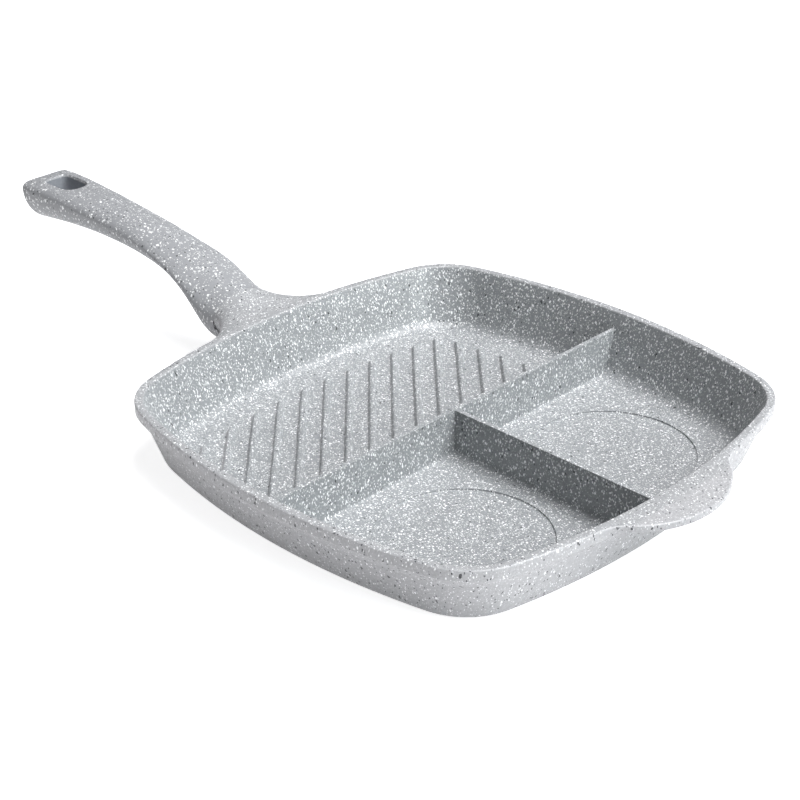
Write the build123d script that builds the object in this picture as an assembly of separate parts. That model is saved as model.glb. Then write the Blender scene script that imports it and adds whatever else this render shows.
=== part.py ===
from build123d import *
import math
import os

# Divided frying pan: a cast pan with a T-shaped divider and a moulded handle.
# Millimetres. The origin is the middle of the underside of the base.
# The handle points along +X, the helper tab along -X, and the mouth faces +Z.

# Pan casting
pan_half = 140.0              # middle of the pan to the middle of a rim side
pan_height = 37.0
rim_corner = 39.5             # corner radius of the rim's outer edge
rim_bow = 365.0               # radius of the gently bowed rim sides
corner_shrink = 0.6           # how much a corner tightens per mm further in, at the rim
wall_shrink = 0.1             # the same for the outer wall, whose corners stay rounder
floor_shrink = 0.25           # the same for the floor
bow_growth = 2.5              # how much a side's radius grows per mm further in
rim_width = 5.0
lip_height = 5.5              # height of the band round the rim
lip_overhang = 5.5            # how far that band stands out from the wall
lip_slope = 6.5               # height of the sloping underside of the band
lip_soften = 5.0              # rounding between the band, its underside and the wall
wall_draft = 20.0             # lean of the walls, in degrees
floor_thickness = 3.5
floor_fillet = 9.0
base_fillet = 9.0
rim_edge = 1.0                # rounding of the rim's top edges

# Divider
divider_drop = 9.0            # how far its top lies below the rim
divider_top = 2.6
divider_draft = 1.6           # lean of each face, in degrees
divider_foot = 2.0            # rounding where the divider meets the floor
divider_bury = 1.5            # how far the divider runs into the wall

# Grill ribs
rib_pitch = 12.5
rib_width = 4.6
rib_height = 2.4
rib_top = 2.1                 # width of the flat top before its edges are rounded
rib_crest = 0.9               # rounding of those edges
rib_corner_gap = 5.7          # from the middle of the first rib to the end of the ribbed area
rib_margin = 35.0             # ribs stop this far in from the rim's outer edge
rib_shrink = 0.9              # how much the ribbed area's corners tighten per mm further in
rib_run_out = 2.0             # length of the slope at a rib's end
rib_shift = 4.5               # how far the ribbed area lies off the middle, towards +Y

# Round wells in the two small sections
well_margin = 35.3            # floor left beside a well, from the divider's middle to the wall
well_gap_x = 16.25            # from the divider's middle to the well's edge
well_gap_y = 13.25
well_depth = 0.9
well_edge = 0.6

# Underside, with a shallow groove round its flat middle
groove_inset = 6.0            # from the end of the base's rounding to the groove
groove_width = 1.6
groove_depth = 0.5

# Helper tab
tab_reach = 20.0
tab_half_width = 42.0
tab_thickness = 4.0
tab_blend = 18.0              # radius where the tab spreads into the rim
tab_edge = 1.2

# Neck between the rim and the handle
joint_reach = 25.0            # from the rim to the joint, where the handle starts
neck_half = 21.0              # half its width at the joint
neck_rise = 5.8               # how far its top climbs above the rim
neck_drop = 22.0              # how far its underside lies below the rim at the joint
neck_late = 1.4               # how late that climb comes: 1 is even
neck_flare = 39.0             # radius of its edges as they spread into the rim
neck_steps = 5
neck_crown = 0.35             # how far the brow drops, as a share of the crown's rise
neck_brow_width = 0.66        # width at the brow, as a share of the full width
neck_shoulder = 0.6           # height of its widest level, as a share of its depth
flare_inset = 1.5             # first full section of the flare, this far inside the rim's edge
flare_depth = 6.0             # thickness of that section
root_inset = 8.0              # buried start of the flare, this far inside the rim's edge
root_half = 56.0
root_sink = 1.0               # how far its top lies below the rim
root_depth = 4.5              # how far its underside lies below the rim

# Tongue of the casting inside the handle
tongue_length = 17.0
tongue_half = 11.0
tongue_height = 11.5          # its top is level with the rim
tongue_round = 2.0
socket_clearance = 0.2

# Handle, as upright sections: distance from the joint, half width, top and bottom
# above the rim, height of the shoulder, drop of the brow, width at the brow
handle_sections = [
    (0.0, 21.2, 6.0, -24.0, 0.60, 0.35, 0.66),
    (13.0, 21.6, 9.6, -23.0, 0.60, 0.35, 0.66),
    (25.0, 21.0, 12.7, -10.0, 0.58, 0.35, 0.66),
    (40.0, 19.5, 16.2, 0.5, 0.56, 0.35, 0.66),
    (57.0, 17.6, 19.6, 4.6, 0.58, 0.35, 0.66),
    (77.0, 16.4, 22.8, 6.8, 0.61, 0.35, 0.66),
    (100.0, 16.2, 25.1, 7.4, 0.64, 0.34, 0.67),
    (125.0, 16.8, 26.5, 7.0, 0.67, 0.33, 0.68),
    (150.0, 17.6, 26.9, 4.9, 0.70, 0.32, 0.70),
    (166.0, 18.1, 26.7, 2.3, 0.72, 0.22, 0.73),
    (176.0, 18.2, 25.7, 0.5, 0.75, 0.14, 0.77),
    (182.5, 17.9, 24.0, 0.8, 0.77, 0.14, 0.78),
    (187.0, 17.4, 22.4, 3.0, 0.79, 0.14, 0.79),
]
section_keel = 0.2            # rise of a section's lower corner, as a share of its lower part
section_keel_width = 0.62     # width of that corner, as a share of the section's width
handle_edge = 2.4             # rounding round the handle's end
end_trim = 1.0                # cut off past the end, at its top
end_lean = 15.0               # slant of the end, further back at its foot, in degrees
end_hollow = 3.4              # depth of the hollow across the handle's end
end_hollow_width = 30.0
end_hollow_edge = 1.6
notch_drop = 12.5             # small gap at each side of the joint, this far below the rim
notch_height = 5.5
notch_width = 0.8
notch_depth = 3.0

# Hanging slot, rounder on the pan's side
slot_start = 148.5            # from the joint
slot_length = 26.5
slot_half_width = 8.8
slot_corner = 4.5             # corner radius on the side of the handle's end
slot_tip = 7.5                # corner radius on the pan's side
slot_edge = 0.6

# Handle fastener
screw_reach = 8.0             # from the joint
screw_diameter = 5.0
screw_head_diameter = 9.0
screw_head_height = 3.0
screw_tip_gap = 1.0
drive_length = 4.6
drive_width = 1.1
drive_depth = 1.4
washer_diameter = 10.0
washer_thickness = 1.0
counterbore_diameter = 11.0
seat_drop = 17.0              # the washer's seat in the handle's chin, below the rim
hole_clearance = 0.3
thread_clearance = 0.1
insert_diameter = 7.0
insert_length = 9.0

# Places that follow from the sizes above
joint_x = pan_half + joint_reach
screw_x = joint_x + screw_reach
slot_near = joint_x + slot_start
slot_far = slot_near + slot_length
tongue_bottom = pan_height - tongue_height
seat_height = pan_height - seat_drop
wall_top = pan_height - lip_height - lip_slope


def outline(inset, shrink=corner_shrink):
    """Rounded square with bowed sides, this far in from the rim's outer edge."""
    half = pan_half - inset
    bow = rim_bow + bow_growth * inset
    corner = rim_corner - shrink * inset
    middle = half - bow
    reach = bow - corner
    centre = (middle + math.sqrt(2 * reach ** 2 - middle ** 2)) / 2
    turn = math.degrees(math.atan2(centre, centre - middle))
    edges = []
    for quarter in range(4):
        side = CenterArc((middle, 0), bow, -turn, 2 * turn)
        bend = CenterArc((centre, centre), corner, turn, 90 - 2 * turn)
        for arc in (side, bend):
            edges.append(arc.rotate(Axis.Z, 90 * quarter))
    return make_face(edges)


def lean(height):
    """Sideways run of a drafted wall over this height."""
    return height * math.tan(math.radians(wall_draft))


def bottom_edges(solid):
    return solid.edges().group_by(Axis.Z)[0]


def make_band():
    """The band round the rim, with the helper tab flush with its top."""
    lip = extrude(Pos(0, 0, pan_height - lip_height) * outline(0), lip_height)
    radius = (tab_half_width ** 2 + tab_reach ** 2) / (2 * tab_reach)
    disc = Pos(radius - pan_half - tab_reach, 0) * Circle(radius)
    left_half = Pos(-pan_half, 0) * Rectangle(pan_half, 4 * tab_half_width)
    plan = Pos(0, 0, pan_height - tab_thickness) * (outline(0) + (disc & left_half))
    plate = extrude(plan, tab_thickness)
    uprights = plate.edges().filter_by(Axis.Z)
    roots = [e for e in uprights if abs(e.center().Y) < pan_half / 2 and e.center().X < 0]
    plate = fillet(roots, tab_blend)
    under = [e for e in bottom_edges(plate) if e.center().X < -pan_half]
    return lip + fillet(under, tab_edge)


def make_shell():
    """Outer form of the casting before it is hollowed."""
    lip_bottom = pan_height - lip_height
    base = outline(lip_overhang + lean(wall_top), wall_shrink)
    top = Pos(0, 0, wall_top) * outline(lip_overhang, wall_shrink)
    wall = loft([base, top], ruled=True)
    wall = fillet(bottom_edges(wall), base_fillet)
    slope = loft([top, Pos(0, 0, lip_bottom) * outline(0)], ruled=True)
    lip = extrude(Pos(0, 0, lip_bottom) * outline(0), lip_height)
    shell = wall + slope + lip
    seams = [e for e in shell.edges() if abs(e.center().Z - lip_bottom) < 0.01]
    seams += [e for e in shell.edges() if abs(e.center().Z - wall_top) < 0.01]
    return fillet(seams, lip_soften)


def inner_form(low, grow):
    """The hollow's form from this level to the rim, grown sideways into the wall."""
    depth = pan_height - low
    floor = Pos(0, 0, low) * outline(rim_width + lean(depth) - grow, floor_shrink)
    mouth = Pos(0, 0, pan_height) * outline(rim_width - grow)
    return loft([floor, mouth], ruled=True)


def make_cavity():
    """The hollow of the pan, with a rounded floor edge and open space above."""
    cavity = inner_form(floor_thickness, 0)
    above = extrude(Pos(0, 0, pan_height) * outline(rim_width), pan_height)
    return fillet(bottom_edges(cavity), floor_fillet) + above


def divider_profile():
    """Cross-section of a divider, from its crest to its spreading foot."""
    height = pan_height - divider_drop - floor_thickness
    crest = divider_top / 2
    root = crest + height * math.tan(math.radians(divider_draft))
    toe = root + divider_foot
    sink = -floor_thickness / 2
    with BuildSketch(Plane.XZ) as profile:
        with BuildLine():
            Polyline((-toe, 0), (-toe, sink), (toe, sink), (toe, 0))
            RadiusArc((toe, 0), (root, divider_foot), divider_foot)
            Polyline((root, divider_foot), (crest, height), (-crest, height), (-root, divider_foot))
            RadiusArc((-root, divider_foot), (-toe, 0), divider_foot)
        make_face()
    return profile.sketch


def make_dividers():
    """The long divider across the pan and the short one that meets it."""
    profile = Pos(0, 0, floor_thickness) * divider_profile()
    run = pan_half
    across = extrude(profile, run, both=True)
    along = extrude(profile.rotate(Axis.Z, 90), run, both=True)
    half = Pos(-run / 2, 0, 0) * Box(run, run, 4 * pan_height)
    return across + (along & half)


def make_ribs():
    """The sloping ribs of the grill section, as one group."""
    foot = rib_width / 2
    crest = rib_top / 2
    sink = -floor_thickness / 2
    with BuildSketch(Plane.XZ) as profile:
        with BuildLine():
            Polyline((-foot, 0), (-foot, sink), (foot, sink), (foot, 0))
            Polyline((foot, 0), (crest, rib_height), (-crest, rib_height), (-foot, 0))
        make_face()
    bar = extrude(Pos(0, 0, floor_thickness) * profile.sketch, 2 * pan_half, both=True)
    crests = bar.edges().filter_by(Axis.Y).group_by(Axis.Z)[-1]
    bar = fillet(crests, rib_crest)
    ends = Pos(0, rib_shift, floor_thickness) * outline(rib_margin, rib_shrink)
    above = Pos(0, rib_shift, floor_thickness + 2 * rib_height)
    tops = above * outline(rib_margin + 2 * rib_run_out, rib_shrink)
    field = loft([ends, tops], ruled=True) + extrude(ends, -floor_thickness)
    grill = Pos(pan_half / 2, 0, 0) * Box(pan_half, 2 * pan_half, 4 * pan_height)
    first = field.rotate(Axis.Z, -45).bounding_box().max.X - rib_corner_gap
    last = rib_pitch - (pan_half - rib_margin) / math.sqrt(2)
    ribs = []
    for number in range(1 + int((first - last) / rib_pitch)):
        rib = (Pos(first - number * rib_pitch, 0, 0) * bar).rotate(Axis.Z, 45)
        ribs += (rib & field & grill).solids()
    return ribs


def section(x, half, top, bottom, shoulder, crown, brow_width):
    """One upright cross-section of the grip or neck: a crowned oval, widest at its shoulder."""
    level = bottom + shoulder * (top - bottom)
    brow = top - crown * (top - level)
    keel = bottom + section_keel * (level - bottom)
    brow_half = brow_width * half
    keel_half = section_keel_width * half
    points = [
        (x, 0, top),
        (x, brow_half, brow),
        (x, half, level),
        (x, keel_half, keel),
        (x, 0, bottom),
        (x, -keel_half, keel),
        (x, -half, level),
        (x, -brow_half, brow),
    ]
    return make_face(Spline(*points, periodic=True))


def neck_section(x):
    """Cross-section of the neck at this x, from the wide flare to the joint."""
    arc_x = pan_half - 2 * flare_inset + neck_flare
    arc_y = neck_half + math.sqrt(neck_flare ** 2 - (arc_x - joint_x) ** 2)
    half = arc_y - math.sqrt(neck_flare ** 2 - (arc_x - x) ** 2)
    share = (x - pan_half + flare_inset) / (joint_reach + flare_inset)
    top = pan_height + neck_rise * share ** neck_late
    bottom = pan_height - flare_depth - (neck_drop - flare_depth) * share
    return section(x, half, top, bottom, neck_shoulder, neck_crown, neck_brow_width)


def make_neck():
    """The cast neck that rises from the rim to the handle."""
    start = pan_half - flare_inset
    step = (joint_x - start) / neck_steps
    root_top = pan_height - root_sink
    root_bottom = pan_height - root_depth
    root_form = (root_half, root_top, root_bottom, neck_shoulder, neck_crown, neck_brow_width)
    sections = [section(pan_half - root_inset, *root_form)]
    for number in range(neck_steps + 1):
        sections.append(neck_section(start + number * step))
    return loft(sections)


def make_tongue(extra):
    """The bar that the handle slides on, grown by this clearance for the socket."""
    start = joint_x - tongue_round - 1 + extra
    length = joint_x + tongue_length + extra - start
    half = tongue_half + extra
    height = tongue_height + 2 * extra
    middle = pan_height - tongue_height / 2
    bar = Pos(start + length / 2, 0, middle) * Box(length, 2 * half, height)
    return fillet(bar.edges().filter_by(Axis.X), tongue_round)


def upright_cylinder(x, radius, low, high):
    return Pos(x, 0, (low + high) / 2) * Cylinder(radius, high - low)


def make_wells():
    """Cutters for the two shallow round wells."""
    floor_half = pan_half - rim_width - lean(pan_height - floor_thickness)
    radius = (floor_half - well_margin) / 2
    wells = []
    for side in (-1, 1):
        place = Pos(-radius - well_gap_x, side * (radius + well_gap_y), floor_thickness)
        well = place * Cylinder(radius, 2 * well_depth)
        wells.append(fillet(bottom_edges(well), well_edge))
    return wells


def round_rim(body):
    """Round the rim's top edges, except where the neck rises from it."""
    level = [e for e in body.edges() if abs(e.center().Z - pan_height) < 0.01]
    rim = [e for e in level if e.geom_type == GeomType.CIRCLE or e.center().X < 0]
    return fillet(rim, rim_edge)


def make_pan_body():
    """The whole casting: shell, divider, ribs, wells, tab, neck and tongue."""
    body = round_rim(make_shell() + make_band() + make_neck() - make_cavity())
    core = inner_form(floor_thickness / 2, divider_bury)
    body = body + (make_dividers() & core) + make_ribs() - make_wells()
    groove = lip_overhang + lean(wall_top) + base_fillet + groove_inset
    body = body - extrude(outline(groove) - outline(groove + groove_width), groove_depth)
    hole_top = tongue_bottom + insert_length + screw_tip_gap
    hole = upright_cylinder(screw_x, insert_diameter / 2, tongue_bottom - 1, hole_top)
    return body + make_tongue(0) - hole


def make_grip():
    """The handle's outer form, lofted through its upright sections."""
    sections = []
    for along, half, top, bottom, shoulder, crown, brow_width in handle_sections:
        top, bottom = pan_height + top, pan_height + bottom
        sections.append(section(joint_x + along, half, top, bottom, shoulder, crown, brow_width))
    return loft(sections)


def make_slot():
    """Cutter for the hanging slot, an oblong with rounded corners."""
    circles = []
    for side in (-1, 1):
        tip_y = side * (slot_half_width - slot_tip)
        corner_y = side * (slot_half_width - slot_corner)
        circles.append(Pos(slot_near + slot_tip, tip_y) * Circle(slot_tip))
        circles.append(Pos(slot_far - slot_corner, corner_y) * Circle(slot_corner))
    edges = [circle.edge() for circle in circles]
    return extrude(make_hull(edges), 3 * pan_height)


def shape_end(grip):
    """Cut the handle's end at a slant, round it and hollow it slightly across its width."""
    end_x = joint_x + handle_sections[-1][0] - end_trim
    end = Pos(end_x, 0, pan_height + handle_sections[-1][2]) * Rot(0, end_lean, 0)
    beyond = Box(pan_half, pan_half, 4 * pan_height, align=(Align.MIN, Align.CENTER, Align.CENTER))
    grip = grip - end * beyond
    face = grip.faces().filter_by(GeomType.PLANE).sort_by(Axis.X)[-1]
    grip = fillet(face.edges(), handle_edge)
    radius = (end_hollow_width ** 2 / 4 + end_hollow ** 2) / (2 * end_hollow)
    grip = grip - end * Pos(radius - end_hollow, 0, 0) * Cylinder(radius, 4 * pan_height)
    return fillet(grip.faces().filter_by(GeomType.CYLINDER)[0].edges(), end_hollow_edge)


def cut_slot(grip):
    """Cut the hanging slot and round its upper and lower edges."""
    grip = grip - make_slot()
    walls = []
    for face in grip.faces():
        beside = abs(face.center().Y) < slot_half_width + slot_edge
        along = slot_near - slot_edge < face.center().X < slot_far + slot_edge
        if beside and along and face.geom_type in (GeomType.PLANE, GeomType.CYLINDER):
            walls.append(face)
    edges = [e for face in walls for e in face.edges() if e.geom_type == GeomType.BSPLINE]
    return fillet(edges, slot_edge)


def make_handle():
    """The moulded grip with its socket, slot, hollow end and screw seat."""
    grip = cut_slot(shape_end(make_grip())) - make_tongue(socket_clearance)
    grip = grip - upright_cylinder(screw_x, counterbore_diameter / 2, 0, seat_height)
    grip = grip - upright_cylinder(screw_x, screw_diameter / 2 + hole_clearance, 0, tongue_bottom)
    for side in (-1, 1):
        y = side * (neck_half - notch_depth + pan_half / 2)
        notch = Box(2 * notch_width, pan_half, notch_height)
        grip = grip - Pos(joint_x, y, pan_height - notch_drop + notch_height / 2) * notch
    return grip


def make_insert():
    """The threaded sleeve pressed into the tongue."""
    sleeve = upright_cylinder(screw_x, insert_diameter / 2, tongue_bottom, tongue_bottom + insert_length)
    bore = screw_diameter / 2 + thread_clearance
    return sleeve - upright_cylinder(screw_x, bore, 0, pan_height)


def make_washer():
    """The washer between the screw's head and its seat."""
    ring = upright_cylinder(screw_x, washer_diameter / 2, seat_height - washer_thickness, seat_height)
    return ring - upright_cylinder(screw_x, screw_diameter / 2 + hole_clearance, 0, pan_height)


def make_screw():
    """The screw that draws the handle up against the tongue."""
    head_top = seat_height - washer_thickness
    head_bottom = head_top - screw_head_height
    tip = tongue_bottom + insert_length - screw_tip_gap
    head = upright_cylinder(screw_x, screw_head_diameter / 2, head_bottom, head_top)
    head = fillet(bottom_edges(head), screw_head_height / 3)
    shank = upright_cylinder(screw_x, screw_diameter / 2, head_top, tip)
    shank = chamfer(shank.edges().group_by(Axis.Z)[-1], screw_diameter / 10)
    slot = Pos(screw_x, 0, head_bottom) * Box(drive_length, drive_width, 2 * drive_depth)
    return head + shank - slot - slot.rotate(Axis((screw_x, 0, 0), (0, 0, 1)), 90)


pieces = {
    "pan_body": make_pan_body(),
    "handle": make_handle(),
    "handle_insert": make_insert(),
    "handle_screw": make_screw(),
    "screw_washer": make_washer(),
}
os.makedirs("parts", exist_ok=True)
for name, shape in pieces.items():
    export_step(shape, "parts/" + name + ".step")
    print(name, round(shape.volume), shape.is_valid)
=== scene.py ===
import math

import bmesh
import bpy
import numpy as np
from mathutils import Matrix, Vector


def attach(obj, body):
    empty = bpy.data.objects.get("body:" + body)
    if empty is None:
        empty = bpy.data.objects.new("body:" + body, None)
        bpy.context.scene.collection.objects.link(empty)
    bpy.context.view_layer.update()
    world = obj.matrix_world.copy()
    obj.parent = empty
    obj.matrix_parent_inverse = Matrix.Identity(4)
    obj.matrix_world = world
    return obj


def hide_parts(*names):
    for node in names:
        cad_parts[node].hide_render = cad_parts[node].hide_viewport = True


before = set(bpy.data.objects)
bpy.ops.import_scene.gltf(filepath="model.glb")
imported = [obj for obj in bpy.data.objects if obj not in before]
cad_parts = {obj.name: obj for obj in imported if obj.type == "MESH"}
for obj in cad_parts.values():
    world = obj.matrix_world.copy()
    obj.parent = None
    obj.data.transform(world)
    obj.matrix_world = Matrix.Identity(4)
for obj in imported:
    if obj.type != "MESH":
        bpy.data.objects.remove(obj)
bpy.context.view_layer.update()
print("frame loaded")

# Camera, placed where the photo was taken from
cameraSet = {
    "place": (-0.5508, 0.6081, 0.4728),  # metres from the middle of the pan's underside
    "yaw": -45.85,  # degrees, from +X towards +Y
    "pitch": 28.2,  # degrees below level
    "lens": 81.43,
    "sensor": 36,
    "nearest": 0.01,  # metres
}


def makeCamera():
    yaw = math.radians(cameraSet["yaw"])
    pitch = math.radians(cameraSet["pitch"])
    level = math.cos(pitch)
    ahead = Vector((level * math.cos(yaw), level * math.sin(yaw), -math.sin(pitch)))
    right = ahead.cross(Vector((0, 0, 1))).normalized()
    up = right.cross(ahead)
    data = bpy.data.cameras.new("photoCamera")
    data.lens = cameraSet["lens"]
    data.sensor_width = cameraSet["sensor"]
    data.clip_start = cameraSet["nearest"]
    camera = bpy.data.objects.new("photoCamera", data)
    bpy.context.scene.collection.objects.link(camera)
    turn = Matrix((right, up, -ahead)).transposed().to_4x4()
    camera.matrix_world = Matrix.Translation(cameraSet["place"]) @ turn
    bpy.context.scene.camera = camera


makeCamera()
print("camera placed")


# Node helpers
bumpHeight = 0.0001  # metres


def newMaterial(name):
    material = bpy.data.materials.new(name)
    material.use_nodes = True
    return material, material.node_tree, material.node_tree.nodes["Principled BSDF"]


def addNode(tree, kind, **settings):
    node = tree.nodes.new(kind)
    for key, value in settings.items():
        setattr(node, key, value)
    return node


def wire(tree, target, name, source):
    if isinstance(source, bpy.types.NodeSocket):
        tree.links.new(source, target.inputs[name])
    else:
        target.inputs[name].default_value = source


def maths(tree, operation, a, b=0.0, c=0.0):
    node = addNode(tree, "ShaderNodeMath", operation=operation)
    for index, source in enumerate((a, b, c)):
        wire(tree, node, index, source)
    return node.outputs[0]


def mixColour(tree, factor, low, high):
    node = addNode(tree, "ShaderNodeMix", data_type="RGBA")
    wire(tree, node, 0, factor)
    wire(tree, node, 6, low)
    wire(tree, node, 7, high)
    return node.outputs[2]


def wireBump(tree, shader, height, strength):
    bump = addNode(tree, "ShaderNodeBump")
    wire(tree, bump, "Height", height)
    wire(tree, bump, "Strength", strength)
    wire(tree, bump, "Distance", bumpHeight)
    wire(tree, shader, "Normal", bump.outputs[0])


def newGroup(name, inputs, outputs):
    group = bpy.data.node_groups.new(name, "ShaderNodeTree")
    for label, kind, value in inputs:
        socket = group.interface.new_socket(label, in_out="INPUT", socket_type="NodeSocket" + kind)
        if value is not None:
            socket.default_value = value
    for label, kind in outputs:
        group.interface.new_socket(label, in_out="OUTPUT", socket_type="NodeSocket" + kind)
    return group, group.nodes.new("NodeGroupInput").outputs, group.nodes.new("NodeGroupOutput")


def placeGroup(tree, group, **values):
    node = addNode(tree, "ShaderNodeGroup", node_tree=group)
    for label, source in values.items():
        wire(tree, node, label, source)
    return node


# Flecks: cells of a Voronoi pattern, each with its own size, some of them left empty
fleckShape = {
    "frayScale": 2.6,  # noise that frays the edges, per cell
    "frayDetail": 2.0,
    "smallest": 0.35,  # smallest fleck, as a share of the largest
    "core": 0.72,  # share of a fleck that has its full strength
}


def makeFleckGroup():
    group, given, out = newGroup(
        "flecks",
        [("Place", "Vector", None), ("Cell", "Float", 0.002), ("Share", "Float", 0.5),
         ("Size", "Float", 0.35), ("Rag", "Float", 0.4)],
        [("Mask", "Float"), ("Tone", "Float")],
    )
    inverse = maths(group, "DIVIDE", 1.0, given["Cell"])
    scaled = addNode(group, "ShaderNodeVectorMath", operation="SCALE")
    wire(group, scaled, 0, given["Place"])
    wire(group, scaled, 3, inverse)
    noise = addNode(group, "ShaderNodeTexNoise")
    wire(group, noise, "Vector", scaled.outputs[0])
    wire(group, noise, "Scale", fleckShape["frayScale"])
    wire(group, noise, "Detail", fleckShape["frayDetail"])
    centred = addNode(group, "ShaderNodeVectorMath", operation="SUBTRACT")
    wire(group, centred, 0, noise.outputs["Color"])
    wire(group, centred, 1, (0.5, 0.5, 0.5))
    ragged = addNode(group, "ShaderNodeVectorMath", operation="SCALE")
    wire(group, ragged, 0, centred.outputs[0])
    wire(group, ragged, 3, given["Rag"])
    moved = addNode(group, "ShaderNodeVectorMath", operation="ADD")
    wire(group, moved, 0, scaled.outputs[0])
    wire(group, moved, 1, ragged.outputs[0])
    cells = addNode(group, "ShaderNodeTexVoronoi")
    wire(group, cells, "Vector", moved.outputs[0])
    wire(group, cells, "Scale", 1.0)
    split = addNode(group, "ShaderNodeSeparateColor")
    wire(group, split, 0, cells.outputs["Color"])
    shown = maths(group, "LESS_THAN", split.outputs[0], given["Share"])
    smallest = fleckShape["smallest"]
    spread = maths(group, "MULTIPLY_ADD", split.outputs[1], 1 - smallest, smallest)
    reach = maths(group, "MULTIPLY", spread, given["Size"])
    edge = addNode(group, "ShaderNodeMapRange", interpolation_type="SMOOTHSTEP")
    wire(group, edge, "Value", cells.outputs["Distance"])
    wire(group, edge, "From Min", reach)
    wire(group, edge, "From Max", maths(group, "MULTIPLY", reach, fleckShape["core"]))
    mask = maths(group, "MULTIPLY", edge.outputs[0], shown)
    group.links.new(mask, out.inputs["Mask"])
    group.links.new(split.outputs[2], out.inputs["Tone"])
    return group


fleckGroup = makeFleckGroup()


# Fine mottling and a low bump, as sprayed coatings have
def makeMottleGroup():
    group, given, out = newGroup(
        "mottle",
        [("Place", "Vector", None), ("Grain", "Float", 900.0), ("Cloud", "Float", 60.0)],
        [("Fine", "Float"), ("Broad", "Float")],
    )
    for label, scale, detail in (("Fine", "Grain", 3.0), ("Broad", "Cloud", 4.0)):
        noise = addNode(group, "ShaderNodeTexNoise")
        wire(group, noise, "Vector", given["Place"])
        wire(group, noise, "Scale", given[scale])
        wire(group, noise, "Detail", detail)
        group.links.new(noise.outputs["Fac"], out.inputs[label])
    return group


mottleGroup = makeMottleGroup()

# Speckled coating of the casting and the handle, with painted light on the outside and painted shade in the
# hanging slot; lengths in metres
coatingLooks = {
    "panCoating": {
        "base": (0.290, 0.303, 0.313, 1), "deep": (0.235, 0.247, 0.257, 1),
        # base tone of the outside: lighter than the inside, as painted bounce light from the white table
        "outer": (0.385, 0.385, 0.398, 1),
        "pale": (0.95, 0.96, 0.97, 1), "dark": (0.03, 0.032, 0.036, 1),
        "grain": 0.34, "roughness": 0.34, "bump": 0.3,
        # tone, cell, share, size, raggedness, least strength, share lost on the outside
        "layers": (
            ("pale", 0.0009, 0.85, 0.46, 0.5, 0.2, 0.4),
            ("pale", 0.0013, 0.80, 0.42, 0.5, 0.5, 0.75),
            ("pale", 0.0021, 0.66, 0.35, 0.6, 0.8, 0.8),
            ("dark", 0.0036, 0.40, 0.23, 0.6, 0.8, -1.4),
            ("dark", 0.0022, 0.22, 0.27, 0.6, 0.8, -3.4),
        ),
    },
    "handleCoating": {
        "base": (0.298, 0.307, 0.322, 1), "deep": (0.247, 0.255, 0.268, 1),
        "outer": (0.3, 0.305, 0.318, 1),
        "pale": (0.95, 0.955, 0.96, 1), "dark": (0.04, 0.042, 0.046, 1),
        "grain": 0.16, "roughness": 0.42, "bump": 0.2,
        "layers": (
            ("pale", 0.0012, 0.60, 0.40, 0.8, 0.3, 0),
            ("pale", 0.0019, 0.60, 0.38, 0.8, 0.5, 0),
            ("pale", 0.0031, 0.62, 0.34, 0.9, 0.8, 0),
            ("dark", 0.0034, 0.75, 0.23, 0.6, 0.8, 0),
            ("dark", 0.0022, 0.40, 0.27, 0.6, 0.7, 0),
        ),
    },
    # Hanging slot's walls: the handle's coating with dim, sparse flecks, as painted shade inside the slot
    "slotPaintedShade": {
        "base": (0.29, 0.303, 0.33, 1), "deep": (0.25, 0.262, 0.288, 1),
        "outer": (0.27, 0.283, 0.31, 1),
        "pale": (0.6, 0.61, 0.62, 1), "dark": (0.04, 0.042, 0.046, 1),
        "grain": 0.14, "roughness": 0.4, "bump": 0.2,
        "layers": (
            ("pale", 0.0034, 0.16, 0.26, 0.9, 0.2, 0),
            ("dark", 0.0034, 0.16, 0.2, 0.6, 0.3, 0),
        ),
    },
}

# How each layer of flecks lies to the one before, so that no two share their cells
layerPlace = {
    "shift": (0.031, 0.017, 0.043),  # metres
    "turn": (0.9, 0.7, 0.4),  # radians
    "tilt": 0.5,
    "stretch": (1, 1.15, 0.62),
}
roughSpread = 0.12  # how much the coating's roughness varies

# Where a coated surface counts as outside: walls that look away from the middle, and three zones
# There the coating gets fewer pale flecks and more dark ones, and its own base tone; on the casting that tone
# is lighter, as painted bounce light
outsideForm = {
    "facing": (0.3, 0.55),  # from not at all to fully, as the cosine to straight outward
    "wallReach": 0.112,  # metres from the middle, past the inner walls' feet
    "zones": (
        # axis, start, full, strength
        (0, 0.1395, 0.146, 0.5),  # neck and handle
        (0, -0.1395, -0.146, 0.9),  # helper tab
        (2, 0.0355, 0.0368, 0.5),  # rim
    ),
}


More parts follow.
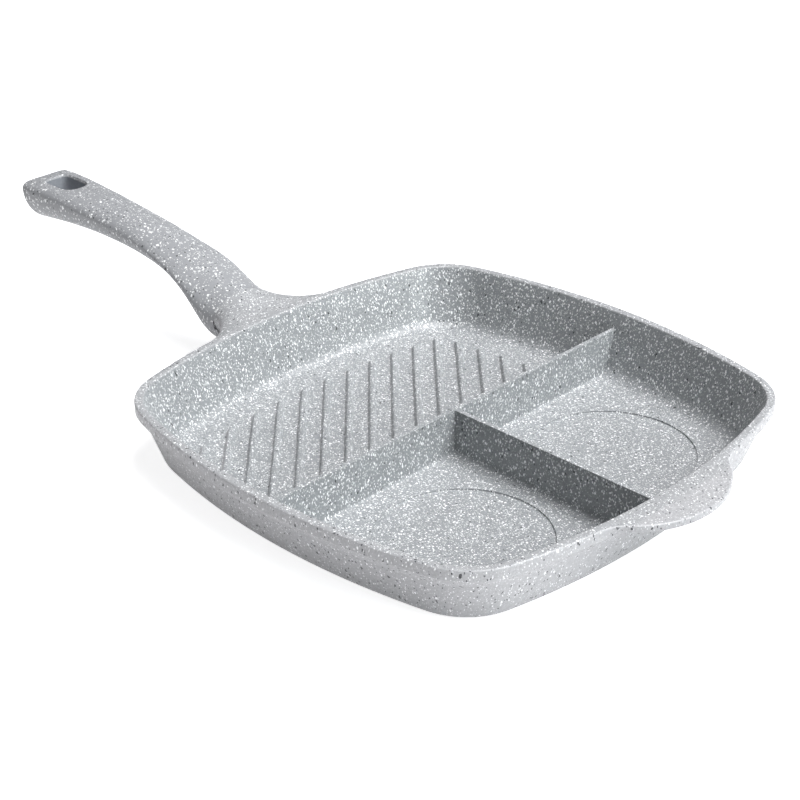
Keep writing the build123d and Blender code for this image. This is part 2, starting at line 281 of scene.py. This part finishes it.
def makeOutsideGroup():
    group, given, out = newGroup(
        "outsideMask", [("Place", "Vector", None), ("Facing", "Vector", None)], [("Mask", "Float")]
    )
    flat = addNode(group, "ShaderNodeVectorMath", operation="MULTIPLY")
    wire(group, flat, 0, given["Place"])
    wire(group, flat, 1, (1, 1, 0))
    away = addNode(group, "ShaderNodeVectorMath", operation="NORMALIZE")
    wire(group, away, 0, flat.outputs[0])
    outward = addNode(group, "ShaderNodeVectorMath", operation="DOT_PRODUCT")
    wire(group, outward, 0, away.outputs[0])
    wire(group, outward, 1, given["Facing"])
    reach = addNode(group, "ShaderNodeVectorMath", operation="LENGTH")
    wire(group, reach, 0, flat.outputs[0])
    facesOut = addNode(group, "ShaderNodeMapRange", interpolation_type="SMOOTHSTEP")
    wire(group, facesOut, "Value", outward.outputs["Value"])
    wire(group, facesOut, "From Min", outsideForm["facing"][0])
    wire(group, facesOut, "From Max", outsideForm["facing"][1])
    farOut = maths(group, "GREATER_THAN", reach.outputs["Value"], outsideForm["wallReach"])
    mask = maths(group, "MULTIPLY", facesOut.outputs[0], farOut)
    parts = addNode(group, "ShaderNodeSeparateXYZ")
    wire(group, parts, 0, given["Place"])
    for axis, start, full, strength in outsideForm["zones"]:
        zone = addNode(group, "ShaderNodeMapRange", interpolation_type="SMOOTHSTEP")
        wire(group, zone, "Value", parts.outputs[axis])
        wire(group, zone, "From Min", start)
        wire(group, zone, "From Max", full)
        wire(group, zone, "To Max", strength)
        mask = maths(group, "MAXIMUM", mask, zone.outputs[0])
    group.links.new(mask, out.inputs["Mask"])
    return group


outsideGroup = makeOutsideGroup()


def makeCoating(name):
    look = coatingLooks[name]
    material, tree, shader = newMaterial(name)
    coords = addNode(tree, "ShaderNodeTexCoord").outputs
    place = coords["Object"]
    outside = placeGroup(tree, outsideGroup, Place=place, Facing=coords["Normal"]).outputs[0]
    mottle = placeGroup(tree, mottleGroup, Place=place)
    colour = mixColour(tree, mottle.outputs["Broad"], look["deep"], look["base"])
    # Painted light: surfaces counted as outside take their own base tone, lighter on the casting for the
    # bounce light from the white table
    colour = mixColour(tree, outside, colour, look["outer"])
    grain = maths(tree, "MULTIPLY_ADD", mottle.outputs["Fine"], 2 * look["grain"], 1 - look["grain"])
    scaled = addNode(tree, "ShaderNodeVectorMath", operation="SCALE")
    wire(tree, scaled, 0, colour)
    wire(tree, scaled, 3, grain)
    colour = scaled.outputs[0]
    shift, turn, tilt = layerPlace["shift"], layerPlace["turn"], layerPlace["tilt"]
    for index, (tone, cell, share, size, rag, least, lost) in enumerate(look["layers"]):
        turned = addNode(tree, "ShaderNodeMapping")
        wire(tree, turned, "Vector", place)
        wire(tree, turned, "Location", (shift[0] * (index + 1), shift[1] * index, shift[2] * index))
        wire(tree, turned, "Rotation", (turn[0] * index, tilt + turn[1] * index, turn[2] * index))
        wire(tree, turned, "Scale", layerPlace["stretch"])
        shown = maths(tree, "MULTIPLY_ADD", outside, -share * lost, share)
        flecks = placeGroup(
            tree, fleckGroup, Place=turned.outputs[0], Cell=cell, Share=shown, Size=size, Rag=rag
        )
        fade = maths(tree, "MULTIPLY_ADD", flecks.outputs["Tone"], 1 - least, least)
        strength = maths(tree, "MULTIPLY", flecks.outputs["Mask"], fade)
        colour = mixColour(tree, strength, colour, look[tone])
    wire(tree, shader, "Base Color", colour)
    smoothest = look["roughness"] - roughSpread / 2
    rough = maths(tree, "MULTIPLY_ADD", mottle.outputs["Fine"], roughSpread, smoothest)
    wire(tree, shader, "Roughness", rough)
    wireBump(tree, shader, mottle.outputs["Fine"], look["bump"])
    return material


# Bare metals
metalLooks = {
    "brass": {"pale": (0.72, 0.55, 0.28), "roughness": 0.32},
    "steel": {"pale": (0.62, 0.62, 0.64), "roughness": 0.3},
}
metalFinish = {
    "shade": 0.8,  # darkest patches, as a share of the palest
    "spread": 0.2,  # how much the roughness varies
    "grain": 2600.0, "cloud": 240.0,  # fine and broad patches, per metre
}


def makeMetal(name):
    look = metalLooks[name]
    material, tree, shader = newMaterial(name)
    place = addNode(tree, "ShaderNodeTexCoord").outputs["Object"]
    mottle = placeGroup(tree, mottleGroup, Place=place, Grain=metalFinish["grain"], Cloud=metalFinish["cloud"])
    deep = tuple(metalFinish["shade"] * part for part in look["pale"]) + (1,)
    wire(tree, shader, "Base Color", mixColour(tree, mottle.outputs["Broad"], deep, look["pale"] + (1,)))
    smoothest = look["roughness"] - metalFinish["spread"] / 2
    rough = maths(tree, "MULTIPLY_ADD", mottle.outputs["Fine"], metalFinish["spread"], smoothest)
    wire(tree, shader, "Roughness", rough)
    wire(tree, shader, "Metallic", 1.0)
    return material


# Underside of the casting, turned bright on a lathe
baseLook = {
    "pale": (0.72, 0.72, 0.73, 1), "deep": (0.52, 0.52, 0.53, 1),
    "rings": 1500.0, "grain": 700.0, "cloud": 30.0,  # per metre
    "cloudLeast": 0.5, "roughness": 0.36, "bump": 0.35,
}


def makeTurnedBase():
    material, tree, shader = newMaterial("turnedBase")
    place = addNode(tree, "ShaderNodeTexCoord").outputs["Object"]
    reach = addNode(tree, "ShaderNodeVectorMath", operation="LENGTH")
    wire(tree, reach, 0, place)
    rings = addNode(tree, "ShaderNodeTexNoise", noise_dimensions="1D")
    wire(tree, rings, "W", maths(tree, "MULTIPLY", reach.outputs["Value"], baseLook["rings"]))
    mottle = placeGroup(tree, mottleGroup, Place=place, Grain=baseLook["grain"], Cloud=baseLook["cloud"])
    cloud = maths(tree, "ADD", mottle.outputs["Broad"], baseLook["cloudLeast"])
    shade = maths(tree, "MULTIPLY", rings.outputs["Fac"], cloud)
    wire(tree, shader, "Base Color", mixColour(tree, shade, baseLook["deep"], baseLook["pale"]))
    wire(tree, shader, "Metallic", 1.0)
    smoothest = baseLook["roughness"] - metalFinish["spread"] / 2
    rough = maths(tree, "MULTIPLY_ADD", rings.outputs["Fac"], metalFinish["spread"], smoothest)
    wire(tree, shader, "Roughness", rough)
    wireBump(tree, shader, rings.outputs["Fac"], baseLook["bump"])
    return material


panCoating = makeCoating("panCoating")
turnedBase = makeTurnedBase()
handleCoating = makeCoating("handleCoating")
# Painted shade for the walls of the hanging slot
slotPaintedShade = makeCoating("slotPaintedShade")
brass = makeMetal("brass")
steel = makeMetal("steel")
print("materials made")


# Cast and moulded pieces: the CAD nodes' own meshes, with doubled corners merged and smooth shading
pieceFinish = {
    "weld": 1e-6,  # metres
    "sharpFrom": 32,  # degrees between faces
}


def copyNode(node):
    bm = bmesh.new()
    bm.from_mesh(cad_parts[node].data)
    bmesh.ops.remove_doubles(bm, verts=bm.verts, dist=pieceFinish["weld"])
    return bm


def placePiece(bm, name, node, materials):
    sharp = math.radians(pieceFinish["sharpFrom"])
    for face in bm.faces:
        face.smooth = True
    for edge in bm.edges:
        edge.smooth = not (edge.is_manifold and edge.calc_face_angle() > sharp)
    mesh = bpy.data.meshes.new(name)
    bm.to_mesh(mesh)
    bm.free()
    for material in materials:
        mesh.materials.append(material)
    piece = bpy.data.objects.new(name, mesh)
    bpy.context.scene.collection.objects.link(piece)
    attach(piece, "root")
    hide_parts(node)


# The turned base takes the flat faces whose middle lies in a square, which at the corners
# also takes in parts of the flat ring outside the groove; metres
turnedFaces = {"square": 0.112, "highest": 0.0001, "facing": -0.99}

panBm = copyNode("pan_body")
for face in panBm.faces:
    middle = face.calc_center_median()
    inSquare = max(abs(middle.x), abs(middle.y)) < turnedFaces["square"]
    isFlat = face.normal.z < turnedFaces["facing"] and middle.z < turnedFaces["highest"]
    face.material_index = int(isFlat and inSquare)
placePiece(panBm, "panCasting", "pan_body", [panCoating, turnedBase])

# Handle: the CAD node's foot up to the cut, then rings drawn on to the end.
# Millimetres: distances from the joint, heights from the rim
gripForm = {
    "joint": 165.0, "rim": 37.0, "cut": 48.0, "blendEnd": 78.0, "step": 3.0,
    "cutWithin": 1e-5,  # metres
    "window": 7.0, "windowFull": 14.0, "windowSpots": 15,  # evens out the tables' corners
    "half": ((48, 57, 66, 77, 88, 100, 112, 125, 138, 150, 162, 174, 187),
             (18.6, 17.7, 16.95, 16.45, 16.3, 16.35, 16.6, 17.0, 17.5, 17.95, 18.35, 18.6, 18.3)),
    "top": ((48, 57, 66, 77, 90, 100, 112, 125, 138, 150, 162, 172, 180, 187),
            (18.0, 19.9, 21.5, 23.1, 24.6, 25.5, 26.2, 26.7, 27.0, 27.1, 27.0, 26.7, 26.2, 25.6)),
    "side": ((48, 57, 77, 100, 125, 150, 166, 176, 187),
             (11.3, 13.3, 16.6, 18.7, 20.1, 20.3, 19.9, 19.4, 18.5)),
    "bottom": ((48, 57, 66, 77, 88, 100, 112, 125, 138, 150, 162, 172, 180, 187),
               (3.0, 4.1, 5.1, 5.9, 6.4, 6.6, 6.6, 6.1, 5.3, 4.1, 2.7, 1.3, 0.6, 0.6)),
    "crown": ((48, 60, 84, 108, 132, 144, 156, 168, 187),
              (1.75, 1.95, 1.95, 2.05, 2.35, 2.6, 3.0, 3.5, 4.2)),
    "keel": 2.1,  # power of the outline's lower half; the crown's are in the table
    "endAt": (184.8, 23.6), "endLean": 15.0, "leanStart": 172.0,
    "endHollow": 1.0, "hollowHalf": 14.0, "endRound": 2.8, "roundSteps": 6,
}

# Hanging slot, with a flared edge at the top; millimetres as above
slotForm = {
    "near": 148.0, "far": 173.5, "half": 8.2, "tipRound": 7.2, "cornerRound": 4.0,
    "low": -20, "high": 60, "flare": 1.0, "flareLow": 25.4, "flareHigh": 28.4, "segments": 40,
    # how far past the slot, and how upright, a face may be to get the slot's painted shade
    "shadedAlong": 0.2, "shadedAcross": 0.1, "shadedTilt": 0.3,
}


def smoothStep(low, high, value):
    share = min(max((value - low) / (high - low), 0.0), 1.0)
    return share * share * (3 - 2 * share)


def readForm(label, along):
    form = gripForm
    width = smoothStep(0, form["windowFull"], along - form["cut"])
    spots = along + form["window"] * np.linspace(-1, 1, form["windowSpots"]) * width
    return float(np.interp(spots, *form[label]).mean())


# Puts a ring's corners on the handle's outline at this distance, pulled in by the inset
def placeRing(corners, turn, spread, along, ahead=0.0, inset=0.0):
    form = gripForm
    labels = ("half", "top", "side", "bottom", "crown")
    half, top, side, bottom, crown = (readForm(label, along) for label in labels)
    endShare = smoothStep(form["leanStart"], form["endAt"][0], along)
    lean = math.tan(math.radians(form["endLean"])) * endShare
    hollow = form["endHollow"] * endShare
    middle = (top + bottom) / 2
    for corner in corners:
        angle = corner[turn]
        power = crown if angle > 0 else form["keel"]
        cosine, sine = math.cos(angle), math.sin(angle)
        drawn = (abs(cosine) ** power + abs(sine) ** power) ** (-1 / power)
        share = smoothStep(form["cut"], form["blendEnd"], along)
        reach = corner[spread] + (drawn - corner[spread]) * share
        across = half * reach * cosine
        height = side + reach * sine * (top - side if sine > 0 else side - bottom)
        across *= 1 - inset / half
        height = middle + (height - middle) * (1 - 2 * inset / (top - bottom))
        dip = hollow * max(0.0, 1 - (across / form["hollowHalf"]) ** 2)
        x = along + ahead + lean * (height - form["endAt"][1]) - dip
        corner.co = Vector((form["joint"] + x, across, form["rim"] + height)) / 1000


def makeGripShell():
    form = gripForm
    bm = copyNode("handle")
    cutAt = Vector(((form["joint"] + form["cut"]) / 1000, 0, 0))
    everything = bm.verts[:] + bm.edges[:] + bm.faces[:]
    bmesh.ops.bisect_plane(
        bm, geom=everything, plane_co=cutAt, plane_no=(1, 0, 0), clear_outer=True, dist=1e-7
    )
    turn = bm.verts.layers.float.new("turn")
    spread = bm.verts.layers.float.new("spread")
    openEdges = [edge for edge in bm.edges if edge.is_boundary]
    ring = [edge for edge in openEdges if abs(edge.verts[0].co.x - cutAt.x) < form["cutWithin"]]
    half, top, side, bottom = (readForm(label, form["cut"]) for label in ("half", "top", "side", "bottom"))
    for corner in {corner for edge in ring for corner in edge.verts}:
        height = corner.co.z * 1000 - form["rim"] - side
        across = corner.co.y * 1000 / half
        height /= top - side if height > 0 else side - bottom
        corner[turn], corner[spread] = math.atan2(height, across), math.hypot(across, height)
    last = form["endAt"][0] - form["endRound"]
    count = round((last - form["cut"]) / form["step"])  # rings before the rounded end
    length = last - form["cut"]
    spots = [(form["cut"] + length * index / count, 0.0, 0.0) for index in range(1, count + 1)]
    for index in range(1, form["roundSteps"] + 1):
        bend = math.radians(90 * index / form["roundSteps"])
        spots.append((last, form["endRound"] * math.sin(bend), form["endRound"] * (1 - math.cos(bend))))
    for along, ahead, inset in spots:
        grown = bmesh.ops.extrude_edge_only(bm, edges=ring)["geom"]
        ring = [item for item in grown if isinstance(item, bmesh.types.BMEdge) and item.is_boundary]
        corners = [item for item in grown if isinstance(item, bmesh.types.BMVert)]
        placeRing(corners, turn, spread, along, ahead, inset)
    bmesh.ops.edgeloop_fill(bm, edges=ring)
    bmesh.ops.recalc_face_normals(bm, faces=bm.faces)
    return bm


def makeSlotCutter():
    form = slotForm
    bm = bmesh.new()
    spans = ((form["low"], form["high"], 0.0), (form["flareLow"], form["flareHigh"], form["flare"]))
    tip = (form["near"] + form["tipRound"], form["tipRound"])
    foot = (form["far"] - form["cornerRound"], form["cornerRound"])
    for low, high, grow in spans:
        corners = []
        for side in (-1, 1):
            for along, radius in (tip, foot):
                for height, wider in ((low, 0.0), (high, 2 * grow)):
                    across = side * (form["half"] - radius)
                    place = Vector((gripForm["joint"] + along, across, gripForm["rim"] + height)) / 1000
                    made = bmesh.ops.create_circle(
                        bm, segments=form["segments"], radius=(radius + wider) / 1000,
                        matrix=Matrix.Translation(place),
                    )
                    corners += made["verts"]
        bmesh.ops.convex_hull(bm, input=corners)
    return bm


# Cuts one mesh out of another with a Boolean whose result is kept as plain faces
def cutWith(bm, cutter):
    objects = []
    for source in (bm, cutter):
        mesh = bpy.data.meshes.new("shaping")
        source.to_mesh(mesh)
        source.free()
        shape = bpy.data.objects.new("shaping", mesh)
        bpy.context.scene.collection.objects.link(shape)
        objects.append(shape)
    cut = objects[0].modifiers.new("cut", "BOOLEAN")
    cut.operation = "DIFFERENCE"
    cut.solver = "EXACT"
    cut.use_self = True
    cut.object = objects[1]
    result = bmesh.new()
    result.from_object(objects[0], bpy.context.evaluated_depsgraph_get())
    for shape in objects:
        mesh = shape.data
        bpy.data.objects.remove(shape)
        bpy.data.meshes.remove(mesh)
    return result


gripBm = cutWith(makeGripShell(), makeSlotCutter())
# The slot's upright walls take the second material, which is painted shade inside the slot
for face in gripBm.faces:
    middle = face.calc_center_median() * 1000
    along = middle.x - gripForm["joint"]
    spare = slotForm["shadedAlong"]
    isBeside = abs(middle.y) < slotForm["half"] + slotForm["shadedAcross"]
    inSlot = slotForm["near"] - spare < along < slotForm["far"] + spare and isBeside
    face.material_index = int(inSlot and abs(face.normal.z) < slotForm["shadedTilt"])
placePiece(gripBm, "handleGrip", "handle", [handleCoating, slotPaintedShade])

for node, material in (("handle_insert", brass), ("handle_screw", steel), ("screw_washer", steel)):
    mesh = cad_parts[node].data
    mesh.materials.clear()
    mesh.materials.append(material)
print("pieces made")

# Floor and lights
studioSet = {
    "floorSize": 8.0, "floorGap": 0.0003,  # metres; the gap is below the pan
    "floorColour": (0.72, 0.72, 0.73, 1), "floorRoughness": 0.9,
    "floorGlow": 0.32,  # light that the white table gives the pan
    "floorShine": 0.48,  # what the camera sees on top of that, so that only close shadows show
    "sky": 0.1,  # light from all round; the camera sees plain white
    "lamps": (
        # name, place, size, power, colour
        ("topLamp", (-0.72, -0.60, 2.45), 2.0, 113.0, (1, 0.99, 1)),
        ("sideLamp", (-2.4, -0.36, 1.44), 1.9, 50.0, (0.93, 1, 1)),
    ),
}


def makeStudio():
    bm = bmesh.new()
    bmesh.ops.create_grid(bm, x_segments=1, y_segments=1, size=studioSet["floorSize"] / 2)
    mesh = bpy.data.meshes.new("floor")
    bm.to_mesh(mesh)
    bm.free()
    mesh.transform(Matrix.Translation((0, 0, -studioSet["floorGap"])))
    floor = bpy.data.objects.new("floor", mesh)
    bpy.context.scene.collection.objects.link(floor)
    material, tree, shader = newMaterial("floorPaint")
    wire(tree, shader, "Base Color", studioSet["floorColour"])
    wire(tree, shader, "Roughness", studioSet["floorRoughness"])
    wire(tree, shader, "Emission Color", (1, 1, 1, 1))
    seen = addNode(tree, "ShaderNodeLightPath").outputs["Is Camera Ray"]
    glow = maths(tree, "MULTIPLY_ADD", seen, studioSet["floorShine"], studioSet["floorGlow"])
    wire(tree, shader, "Emission Strength", glow)
    mesh.materials.append(material)
    for name, place, size, power, colour in studioSet["lamps"]:
        data = bpy.data.lights.new(name, "AREA")
        data.energy = power
        data.color = colour
        data.size = size
        lamp = bpy.data.objects.new(name, data)
        bpy.context.scene.collection.objects.link(lamp)
        lamp.location = place
        lamp.rotation_euler = (-Vector(place)).to_track_quat("-Z", "Y").to_euler()
    world = bpy.data.worlds.new("studio")
    world.use_nodes = True
    bpy.context.scene.world = world
    tree = world.node_tree
    seen = addNode(tree, "ShaderNodeLightPath").outputs["Is Camera Ray"]
    backdrop = tree.nodes["Background"]
    wire(tree, backdrop, "Color", (1, 1, 1, 1))
    wire(tree, backdrop, "Strength", maths(tree, "MAXIMUM", seen, studioSet["sky"]))
    bpy.context.scene.view_settings.view_transform = "Standard"


makeStudio()
print("studio ready")
